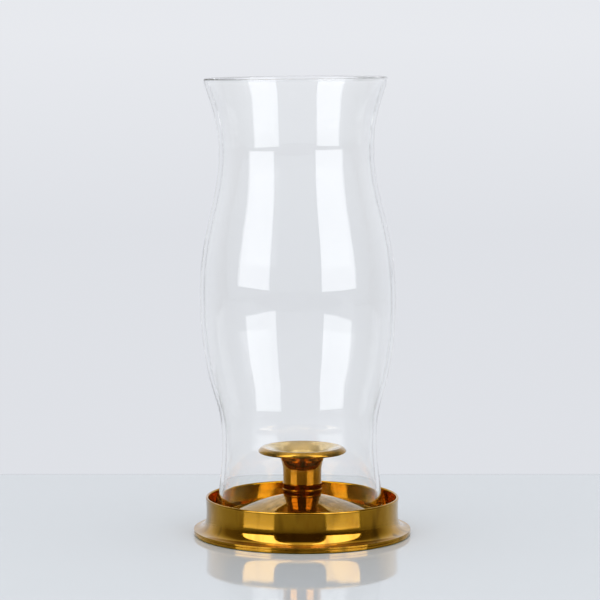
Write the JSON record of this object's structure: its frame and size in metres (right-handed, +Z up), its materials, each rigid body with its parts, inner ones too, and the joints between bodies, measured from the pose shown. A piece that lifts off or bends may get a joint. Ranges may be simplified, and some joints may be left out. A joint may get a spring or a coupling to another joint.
{
  "type": "hurricane candle lantern",
  "caption": "Table lantern: a flared glass chimney, open at both ends, standing loose in a turned brass base around a candle cup with a wide drip pan.",
  "frame": {"origin": "on the table, on the axis of the brass base, under the felt", "axes": "+Z up along the axis of the base and the candle; -Y is the front; the loose chimney leans 0.6 degrees towards -X"},
  "size_m": [0.152, 0.152, 0.3199],
  "materials": {
    "brass": "polished, lacquered",
    "steel": "zinc plated",
    "felt": "pressed wool felt",
    "clear_glass": "clear, fire polished"
  },
  "bodies": {
    "base": {"base_ring": "brass", "dish_plate": "brass", "candle_cup": "brass", "cup_screw": "steel", "flat_washer": "steel", "spring_washer": "steel", "felt_ring": "felt"},
    "chimney": {"glass_chimney": "clear_glass"}
  },
  "joints": [
    {"name": "chimney_lift", "type": "slide", "parent": "base", "child": "chimney", "axis": [0, 0, 1], "range_m": [0, 0.09]}
  ]
}
